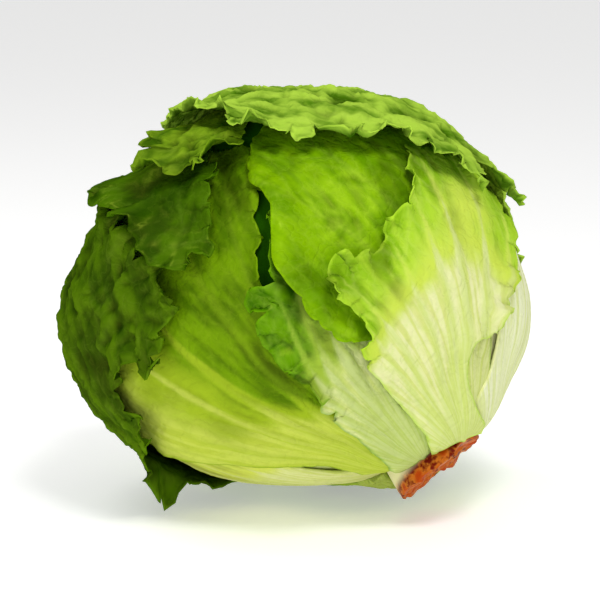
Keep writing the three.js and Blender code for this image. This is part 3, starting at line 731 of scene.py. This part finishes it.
        ridge = self.ridges.read(p)
        from_base = np.linalg.norm(p - self.base_middle, axis=1)
        share = from_base / (from_base + edge + 2)
        young = smoothstep(share, 0.1, 0.5)
        relief = self.relief(p, from_base)
        thick = BASE_THICKNESS + (BLADE_THICKNESS - BASE_THICKNESS) * smoothstep(from_base, 0, THICK_LENGTH)
        thick = thick + (MARGIN_THICKNESS - thick) * margin * free
        roll = smoothstep(edge, 0, 3.5) if facts["lift"] > 1 else 1.0
        low = self.height.read(p)
        frill = FRILL_HEIGHT * margin * facts["frill"] * frill
        low = low + loose * (margin**1.5 * facts["lift"] * roll + frill)
        low = low + rise + (1 - pressed) * (0.25 + 0.75 * shown) * relief * (0.3 + 0.7 * young)
        vein = (0.10 + 0.9 * shown * (1 - pressed)) * VEIN_HEIGHT * ridge * (1 - 0.5 * young)
        d = self.direction(moved)
        pull = self.pull(p) * (1 - pressed)[:, None]
        drop = DOWN * PRESS_DROP * near_floor(d, PRESS_DROP_END)[:, None]
        highest = BLISTERS_HIGHEST * facts["crinkle"] + FOLDS_HIGHEST * facts["folds"]
        return {
            "inner": d * (heart_radius(d) + nestled(d, low))[:, None] + pull + drop,
            "thickness": thick + vein,
            "height": low + thick + vein,
            "direction": d,
            "vein": np.clip(ridge / 1.1, 0, 1),
            "rib": np.clip(self.ribs.read(p) / 1.6, 0, 1),
            "edge": edge,
            # a paler side: partly the leaf's own colour, partly painted light where it faces down into shade
            "share": share * smoothstep(from_base, 20, 72) + facts["lean"] * self.bearing(p),
            # a share of the relief's height, for the painted shade in its hollows and painted highlight on
            # its heights
            "hollow": np.clip(relief / highest, 0, 1),
            "flow": np.stack([self.bearing(p) * 60, from_base, np.zeros(len(p))], -1),
        }

    def bearing(self, p):
        """The angle about the leaf's base, 0 along its middle"""
        x, y = (p - self.base_middle + (0, 6)).T
        return np.arctan2(x, y)

    def blister(self, x, y, height, length, column, row, sharpness):
        return height * ridged(self.noise(x / length + column, y / length + row), sharpness)

    def relief(self, p, from_base):
        """The blade's blisters and folds, in millimetres"""
        noise = self.noise
        u, v = p.T / 9
        x = p[:, 0] + 5 * (noise(u, v + 3) - 0.5)
        y = p[:, 1] + 5 * (noise(u + 5, v) - 0.5)
        between = 1 - np.clip(self.near_veins.read(p) / 1.2, 0, 1)
        blisters = sum(self.blister(x, y, *kind) for kind in BLISTERS)
        blisters = blisters + 0.3 * between + self.blister(x, y, *GRAIN)
        along = from_base / 34
        angle = self.bearing(p) + 0.12 * (noise(from_base / 18, 61.5) - 0.5)
        folds = sum(
            height * ridged(noise(angle * number, along * rate + row), sharpness)
            for height, number, rate, row, sharpness in FOLDS
        )
        return self.facts["crinkle"] * blisters + self.facts["folds"] * folds

    def pull(self, p):
        """How far the leaf's free tips hang from where they would lie"""
        moved = np.zeros((len(p), 3))
        for name, place, reach, way in PULLS:
            if name == self.name:
                gap = np.linalg.norm(p - self.flat(direction([place[0]], [place[1]])), axis=1)
                moved += np.exp(-((gap / reach) ** 2))[:, None] * way
        return moved

    def pile_on(self, cover):
        """Adds the leaf to what has been laid"""
        p = Field(self.extent, 0.9).places()
        shape = self.shape(p[self.reach_in.read(p) > -0.5])
        cover.pile(shape["direction"], shape["height"])

    def flat_points(self):
        """The outline, and a lattice inside it that is finer where the leaf shows"""
        lattices = []
        for step, shown in ((SHOWN_STEP, True), (HIDDEN_STEP, False)):
            rows = int(self.extent / (ROW_RATIO * step)) + 1
            columns = int(self.extent / step) + 1
            i, j = np.meshgrid(np.arange(-columns, columns + 1), np.arange(-rows, rows + 1))
            p = np.stack([((i + 0.5 * (j & 1)) * step).ravel(), (j * ROW_RATIO * step).ravel()], -1)
            p = p[self.reach_in.read(p) > 0.6 * step]
            near = self.hidden.read(p) < 6
            p = p[near == shown]
            distance = nearest(p, self.outline)[1]
            lattices.append(p[distance > 0.55 * min(step, 2 * OUTLINE_STEP)])
        return self.outline, np.vstack(lattices)


def mesh_object(name, points, triangles, attributes):
    """A mesh object from points in millimetres from the head's centre"""
    mesh = bpy.data.meshes.new(name)
    mesh.vertices.add(len(points))
    mesh.vertices.foreach_set("co", ((points + CENTRE) * MM).astype(np.float32).ravel())
    mesh.loops.add(triangles.size)
    mesh.loops.foreach_set("vertex_index", triangles.astype(np.int32).ravel())
    mesh.polygons.add(len(triangles))
    mesh.polygons.foreach_set("loop_start", np.arange(0, triangles.size, 3, dtype=np.int32))
    mesh.update(calc_edges=True)
    mesh.validate()
    mesh.shade_smooth()
    for key, values in attributes.items():
        kind, slot = ("FLOAT_VECTOR", "vector") if values.ndim == 2 else ("FLOAT", "value")
        layer = mesh.attributes.new(key, kind, "POINT")
        layer.data.foreach_set(slot, values.astype(np.float32).ravel())
    piece = bpy.data.objects.new(name, mesh)
    bpy.context.collection.objects.link(piece)
    return piece


def point_normals(points, triangles):
    """The direction that the surface faces at each point"""
    a, b, c = (points[triangles[:, k]] for k in range(3))
    normals = np.zeros_like(points)
    for k in range(3):
        np.add.at(normals, triangles[:, k], np.cross(b - a, c - a))
    return unit(normals)


def leaf_object(leaf):
    """A leaf's skin: its outline and lattice in triangles, on an inner and an outer surface"""
    outline, lattice = leaf.flat_points()
    places = [Vector(p) for p in np.vstack([outline, lattice])]
    border = list(range(len(outline)))
    points, _, faces, *_ = delaunay_2d_cdt(places, [], [border], 1, 1e-5)
    p = np.array([tuple(v) for v in points])
    triangles = np.array([f for f in faces if len(f) == 3])
    a, b, c = (p[triangles[:, k]] for k in range(3))
    turn = (b - a)[:, 0] * (c - a)[:, 1] - (b - a)[:, 1] * (c - a)[:, 0]
    triangles[turn < 0] = triangles[turn < 0][:, ::-1]
    shape = leaf.shape(p)
    edges = np.vstack([triangles[:, [0, 1]], triangles[:, [1, 2]], triangles[:, [2, 0]]])
    seen = set(map(tuple, edges))
    rim = np.array([e for e in seen if (e[1], e[0]) not in seen])
    count = len(p)
    a, b = rim.T
    sides = np.vstack([np.stack([b + count, a + count, a], -1), np.stack([b + count, a, b], -1)])
    faces = np.vstack([triangles + count, triangles[:, ::-1], sides])
    attributes = {key: np.tile(shape[key], 2) for key in ("vein", "rib", "edge", "share", "hollow")}
    attributes["flow"] = np.tile(shape["flow"], (2, 1)) * MM
    attributes["flat"] = np.tile(np.column_stack([p, np.zeros(count)]), (2, 1)) * MM
    inner = shape["inner"]
    outer = inner + point_normals(inner, triangles) * shape["thickness"][:, None]
    inner[:, 2] = np.maximum(inner[:, 2], FLOOR_DISTANCE + MARGIN_THICKNESS)
    outer[:, 2] = np.maximum(outer[:, 2], FLOOR_DISTANCE)
    return mesh_object(f"{leaf.name}_skin", np.vstack([inner, outer]), faces, attributes)


def colour(rgb):
    """A linear colour from display values up to 255"""
    shares = [value / 255 for value in rgb]
    return (*(v / 12.92 if v <= 0.04045 else ((v + 0.055) / 1.055) ** 2.4 for v in shares), 1.0)


def scaled(rgb, shares):
    return [min(255, value * share) for value, share in zip(rgb, shares)]


def blended(a, b, share):
    return [(1 - share) * x + share * y for x, y in zip(a, b)]


class Nodes:
    """A material's nodes, made in one line each"""

    def __init__(self, name):
        self.material = bpy.data.materials.new(name)
        self.material.use_nodes = True
        self.tree = self.material.node_tree
        self.shader = self.tree.nodes["Principled BSDF"]

    def add(self, kind, **values):
        node = self.tree.nodes.new(kind)
        for key, value in values.items():
            setattr(node, key, value)
        return node

    def set(self, socket, value):
        if isinstance(value, bpy.types.NodeSocket):
            self.tree.links.new(value, socket)
        else:
            socket.default_value = value

    def give(self, node, **inputs):
        """Sets inputs of a node, named with _ for a space"""
        for name, value in inputs.items():
            self.set(node.inputs[name.replace("_", " ")], value)

    def maths(self, operation, a, b=0.0):
        node = self.add("ShaderNodeMath", operation=operation)
        self.set(node.inputs[0], a)
        self.set(node.inputs[1], b)
        return node.outputs[0]

    def plus(self, a, b):
        return self.maths("ADD", a, b)

    def minus(self, a, b):
        return self.maths("SUBTRACT", a, b)

    def times(self, a, b):
        return self.maths("MULTIPLY", a, b)

    def ramp(self, value, start, end, low=0.0, high=1.0):
        node = self.add("ShaderNodeMapRange", interpolation_type="SMOOTHSTEP")
        self.give(node, Value=value, From_Min=start, From_Max=end, To_Min=low, To_Max=high)
        return node.outputs[0]

    def mix(self, share, a, b, blend="MIX"):
        node = self.add("ShaderNodeMix", data_type="RGBA", blend_type=blend)
        self.set(node.inputs[0], share)
        self.set(node.inputs[6], a)
        self.set(node.inputs[7], b)
        return node.outputs[2]

    def mix_shaders(self, share, a, b):
        node = self.add("ShaderNodeMixShader")
        self.set(node.inputs[0], share)
        self.set(node.inputs[1], a.outputs[0])
        self.set(node.inputs[2], b.outputs[0])
        return node

    def attribute(self, name, output="Fac"):
        return self.add("ShaderNodeAttribute", attribute_name=name).outputs[output]

    def place(self):
        return self.add("ShaderNodeTexCoord").outputs["Object"]

    def vector(self, operation, a, b):
        node = self.add("ShaderNodeVectorMath", operation=operation)
        self.set(node.inputs[0], a)
        self.set(node.inputs["Scale" if operation == "SCALE" else 1], b)
        return node.outputs[0]

    def noise(self, place, scale, detail=3.0, output="Fac"):
        node = self.add("ShaderNodeTexNoise")
        self.give(node, Vector=place, Scale=scale, Detail=detail)
        return node.outputs[output]

    def warped(self, place, scale, detail, distance):
        """Places shifted by noise"""
        shift = self.vector("SCALE", self.noise(place, scale, detail, "Color"), distance)
        return self.vector("ADD", place, shift)

    def bump(self, height, strength, distance):
        node = self.add("ShaderNodeBump")
        self.give(node, Height=height, Strength=strength, Distance=distance)
        return node.outputs["Normal"]


# The looks of the blades: ranges of patterns over which colours turn, and how strong each thing is
STREAK_SCALE = (420.0, 28.0, 1.0)
RELIEF_PAINTED_LIGHT = (0.18, 0.6, -0.52, 0.16)  # painted shade darkens the relief's hollows and painted highlight lightens its heights
STREAKED = (0.93, 0.95, 0.78)
TRANSLUCENCE = 0.12
WAX_COLOUR = (0.75, 0.9, 0.08, 1)
WAX_SHARE = 0.028


def blade_colour(n, facts, patches, streaks, threads):
    """Pale at the base, fresh half-way and full green at the margin, with pale veins, and painted shade and
    highlight
    """
    vein, rib, edge = n.attribute("vein"), n.attribute("rib"), n.attribute("edge")
    share, hollow = n.attribute("share"), n.attribute("hollow")
    tone = n.plus(n.times(patches, 0.5), n.times(streaks, 0.5))
    # painted shade and highlight: the green turns darker in the relief's hollows and lighter on its heights
    tone = n.plus(tone, n.times(n.minus(hollow, 0.5), 0.35))
    green = n.mix(n.ramp(tone, 0.39, 0.63), colour(facts["dark"]), colour(facts["light"]))
    streaked = colour(scaled(facts["pale"], STREAKED))
    pale = n.mix(n.ramp(streaks, 0.42, 0.62), colour(facts["pale"]), streaked)
    fresh = scaled(blended(facts["light"], facts["pale"], 0.5), (1.0, 1.0, 0.72))
    grown = n.minus(share, n.times(rib, 0.2))
    grown = n.plus(grown, n.times(n.minus(patches, 0.5), 0.25))
    start, end = facts["turns"]
    half = 0.5 * (start + end)
    blade = n.mix(n.ramp(grown, start, half), pale, colour(fresh))
    blade = n.mix(n.ramp(grown, half, end), blade, green)
    veined = colour(blended(facts["light"], facts["pale"], 0.35))
    blade = n.mix(n.times(vein, facts["veins"]), blade, veined)
    blade = n.mix(n.ramp(threads, 0.0, 0.03, 0.1, 0.0), blade, veined)
    # painted highlight: a thin lighter rim along every margin
    painted_rim_highlight = colour(scaled(facts["light"], (1.15, 1.15, 1.15)))
    blade = n.mix(n.ramp(edge, 0.0, 1.3, 0.5, 0.0), blade, painted_rim_highlight)
    # painted shade in the relief's hollows and painted highlight on its heights, weaker where the blade is
    # pale
    shade = n.times(n.ramp(hollow, *RELIEF_PAINTED_LIGHT), n.ramp(grown, start, end, 0.12, 1.0))
    return n.mix(1.0, blade, n.plus(shade, 1.0), "MULTIPLY")


def leaf_material(facts):
    """A waxy blade that lets some light through"""
    n = Nodes(facts["name"] + "_blade")
    flat = n.attribute("flat", "Vector")
    patches = n.noise(flat, 55.0, 4.0)
    grains = n.noise(flat, 330.0, 3.0)
    streaks = n.noise(n.vector("MULTIPLY", n.attribute("flow", "Vector"), STREAK_SCALE), 1.0, 3.0)
    threads = n.maths("ABSOLUTE", n.minus(n.noise(n.warped(flat, 120.0, 2.0, 0.004), 190.0, 2.0), 0.5))
    blade = blade_colour(n, facts, patches, streaks, threads)
    height = n.plus(n.times(streaks, 0.6), n.times(grains, 0.4))
    height = n.plus(height, n.times(n.ramp(threads, 0.0, 0.12), 0.5))
    normal = n.bump(height, 0.5, 0.0009)
    roughness = n.ramp(grains, 0.3, 0.7, 0.34, 0.5)
    n.give(n.shader, Base_Color=blade, Normal=normal, Roughness=roughness, Specular_IOR_Level=0.0)
    thin = n.add("ShaderNodeBsdfTranslucent")
    n.give(thin, Color=blade)
    wax = n.add("ShaderNodeBsdfGlossy")
    n.give(wax, Color=WAX_COLOUR, Roughness=0.38)
    waxed = n.mix_shaders(WAX_SHARE, n.mix_shaders(TRANSLUCENCE, n.shader, thin), wax)
    n.give(n.tree.nodes["Material Output"], Surface=waxed.outputs[0])
    return n.material


def ring_triangles(rings, columns):
    """Triangles between rings of points, closed by two more points: one before the first ring and one after
    the last"""
    ring = np.arange(columns)
    following = (ring + 1) % columns
    triangles = []
    for low in range(0, (rings - 1) * columns, columns):
        high = low + columns
        triangles.append(np.stack([low + ring, high + ring, high + following], -1))
        triangles.append(np.stack([low + ring, high + following, low + following], -1))
    last = (rings - 1) * columns
    before, after = np.full(columns, last + columns), np.full(columns, last + columns + 1)
    triangles.append(np.stack([before, ring, following], -1))
    triangles.append(np.stack([last + ring, after, last + following], -1))
    return np.vstack(triangles)


def heart_object():
    """The heart, with the edges of its own leaves spiralling round it"""
    rows, columns = 120, 240
    angle = np.linspace(0, 180, rows + 1)[1:-1]
    azimuth = np.linspace(0, 360, columns, endpoint=False)
    a, z = (v.ravel() for v in np.meshgrid(angle, azimuth, indexing="ij"))
    d = direction(a, z)
    turned = z / 360 + 0.12 * np.sin(2 * a * RAD) + 1
    edges = HEART_OVERLAP * ((HEART_LEAVES * turned) % 1) ** 2
    relief = edges * np.sin(a * RAD) * smoothstep(a, 24, 40)
    points = d * (heart_radius(d) + relief - 0.2)[:, None]
    ends = np.array([AXIS * HEART_BASE, -AXIS * heart_radius(-AXIS[None])[0]])
    triangles = ring_triangles(len(angle), columns)
    return mesh_object("heart_skin", np.vstack([points, ends]), triangles, {"grown": np.append(a, [0, 180])})


# The heart's green where it shows between the leaves: its own green, darkened as painted shade for the deep
# gap
HEART_GREENS_DARKENED_AS_SHADE = ((26, 76, 2), (48, 106, 3))
HEART_PALES = ((235, 240, 180), (205, 220, 120))


def heart_material():
    n = Nodes("heart_blade")
    place = n.place()
    patches = n.noise(place, 60.0)
    pale = n.mix(patches, *map(colour, HEART_PALES))
    # painted shade: the heart's green is dark where it shows in the shadowed gap between the leaves
    green = n.mix(patches, *map(colour, HEART_GREENS_DARKENED_AS_SHADE))
    blade = n.mix(n.ramp(n.attribute("grown"), 25, 62), pale, green)
    normal = n.bump(n.noise(place, 400.0), 0.3, 0.0005)
    n.give(n.shader, Base_Color=blade, Normal=normal, Roughness=0.45, Specular_IOR_Level=0.0)
    return n.material


def stem_object():
    """The stem with its uneven cut face"""
    columns = 120
    noise = Noise(7)
    azimuth = np.linspace(0, 2 * math.pi, columns, endpoint=False)
    side = np.outer(np.cos(azimuth), UPWARD) + np.outer(np.sin(azimuth), LEFTWARD)
    turned = side @ CUT_TURNED_FROM
    slope = math.tan(CUT_SLANT * RAD)
    edge = STEM_CUT_FACE * math.tan(STEM_CONE * RAD)
    uneven = 1 + 0.05 * (noise(3 + 2 * np.cos(azimuth), 3 + 2 * np.sin(azimuth)) - 0.5)
    profile = [(share, 0.0) for share in np.linspace(0.04, 0.96, 26)]
    profile += [*STEM_WALL, (0.5, STEM_INNER_END - STEM_CUT_FACE)]
    rings = []
    for share, drop in profile:
        radius = edge * share * uneven
        x, y = radius * np.cos(azimuth), radius * np.sin(azimuth)
        rough = sum(
            height * (noise(x / length + column, y / length + row) - 0.5)
            for height, length, column, row in CUT_ROUGHNESS
        )
        fade = 1.0 if drop > -2 else 0.2
        dish = CUT_DISH * (1 - share) * (drop == 0)
        along = STEM_CUT_FACE - 0.8 + drop + fade * rough - dish + radius * turned * slope
        rings.append(along[:, None] * AXIS + radius[:, None] * side)
    points = np.vstack([*rings, rings[0].mean(0)[None], rings[-1].mean(0)[None]])
    depth = STEM_CUT_FACE - points @ AXIS
    return mesh_object("stem_core", points, ring_triangles(len(rings), columns), {"depth": depth})


CUT_BROWNS = ((178, 66, 6), (208, 124, 36))
CUT_SPOT = (112, 20, 4)
WALL_COLOUR = (236, 230, 180)


def stem_material():
    """Browned flesh with darker spots on the cut, and a pale wall below it"""
    n = Nodes("stem_cut")
    place = n.place()
    blotches = n.noise(place, 160.0, 5.0)
    fine = n.noise(place, 700.0, 4.0)
    flesh = n.mix(n.ramp(blotches, 0.35, 0.6), *map(colour, CUT_BROWNS))
    spots = n.ramp(n.plus(blotches, n.times(fine, 0.3)), 0.62, 0.75)
    flesh = n.mix(spots, flesh, colour(CUT_SPOT))
    flesh = n.mix(n.ramp(n.attribute("depth"), 2.0, 6.0), flesh, colour(WALL_COLOUR))
    normal = n.bump(n.plus(blotches, n.times(fine, 0.5)), 0.6, 0.001)
    n.give(n.shader, Base_Color=flesh, Normal=normal, Roughness=0.38, Specular_IOR_Level=0.05)
    return n.material


def dress(piece, node, material):
    piece.data.materials.append(material)
    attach(piece, "root")
    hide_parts(node)


# The head's centre in the frame, in millimetres, from the middle of the heart's box and its top
heart_low, heart_high = (np.array(corner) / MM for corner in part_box("heart"))
CENTRE = 0.5 * (heart_low + heart_high) - HEART_BOX_MIDDLE
CENTRE[2] = heart_high[2] - HEART_BOX_MIDDLE[2]
FLOOR_DISTANCE = -CENTRE[2]

leaves = [Leaf(number + 1, {**PLAIN, **facts}) for number, facts in enumerate(LEAVES)]
cover = Cover()
for number, leaf in enumerate(leaves):
    leaf.under(leaves[number + 1:])
    leaf.lie_on(cover)
    leaf.pile_on(cover)
    dress(leaf_object(leaf), leaf.name, leaf_material(leaf.facts))
dress(heart_object(), "heart", heart_material())
dress(stem_object(), "stem", stem_material())

# The floor, the lights (each with its place from the head's centre, its size and its power) and the camera
CAMERA_ELEVATION = 10.0
CAMERA_DISTANCE = 1.0
FRAME_WIDTH = 0.2148
AIM_OFFSET = (-0.00036, -0.00215)
SENSOR_WIDTH = 36
FLOOR_REACH = 3
FLOOR_COLOUR = (0.93, 0.93, 0.92, 1)
FLOOR_GLOW = 0.35
WORLD_STRENGTH = 0.46
LIGHTS = [
    ("key", (0.25, -0.62, 1.0), 0.34, 6.5),
    ("top", (-0.5, 0.2, 1.0), 0.5, 3),
    ("low", (-0.35, -1.0, 0.05), 0.5, 1.8),
]

floor_mesh = bpy.data.meshes.new("floor")
floor_corners = [(x * FLOOR_REACH, y * FLOOR_REACH, 0) for x, y in ((-1, -1), (1, -1), (1, 1), (-1, 1))]
floor_mesh.from_pydata(floor_corners, [], [(0, 1, 2, 3)])
floor = bpy.data.objects.new("floor", floor_mesh)
bpy.context.collection.objects.link(floor)
floor_nodes = Nodes("floor_pale")
floor_nodes.give(floor_nodes.shader, Base_Color=FLOOR_COLOUR, Roughness=0.6)
floor_nodes.give(floor_nodes.shader, Emission_Color=(1, 1, 1, 1), Emission_Strength=FLOOR_GLOW)
floor.data.materials.append(floor_nodes.material)
floor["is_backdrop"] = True

centre = Vector(CENTRE * MM)
elevation = CAMERA_ELEVATION * RAD
sight = Vector((0, math.cos(elevation), -math.sin(elevation)))
above = Vector((0, math.sin(elevation), math.cos(elevation)))
aim = centre + Vector((1, 0, 0)) * AIM_OFFSET[0] + above * AIM_OFFSET[1]
camera_data = bpy.data.cameras.new("camera")
camera_data.sensor_width = SENSOR_WIDTH
camera_data.lens = SENSOR_WIDTH * CAMERA_DISTANCE / FRAME_WIDTH
camera_data.clip_end = 20
camera = bpy.data.objects.new("camera", camera_data)
bpy.context.collection.objects.link(camera)
camera.location = aim - sight * CAMERA_DISTANCE
camera.rotation_euler = sight.to_track_quat("-Z", "Y").to_euler()
bpy.context.scene.camera = camera


def area_light(name, place, size, power):
    data = bpy.data.lights.new(name, "AREA")
    data.size = size
    data.energy = power
    light = bpy.data.objects.new(name, data)
    bpy.context.collection.objects.link(light)
    light.location = centre + Vector(place)
    light.rotation_euler = (-Vector(place)).to_track_quat("-Z", "Y").to_euler()


for light in LIGHTS:
    area_light(*light)

world = bpy.data.worlds.new("studio")
world.use_nodes = True
world.node_tree.nodes["Background"].inputs["Color"].default_value = (1, 1, 1, 1)
world.node_tree.nodes["Background"].inputs["Strength"].default_value = WORLD_STRENGTH
bpy.context.scene.world = world
bpy.context.scene.view_settings.view_transform = "Standard"

as_lists = lambda box: [list(map(float, corner)) for corner in box]
{"cad": as_lists(cad_box), "visual": as_lists(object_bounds())}
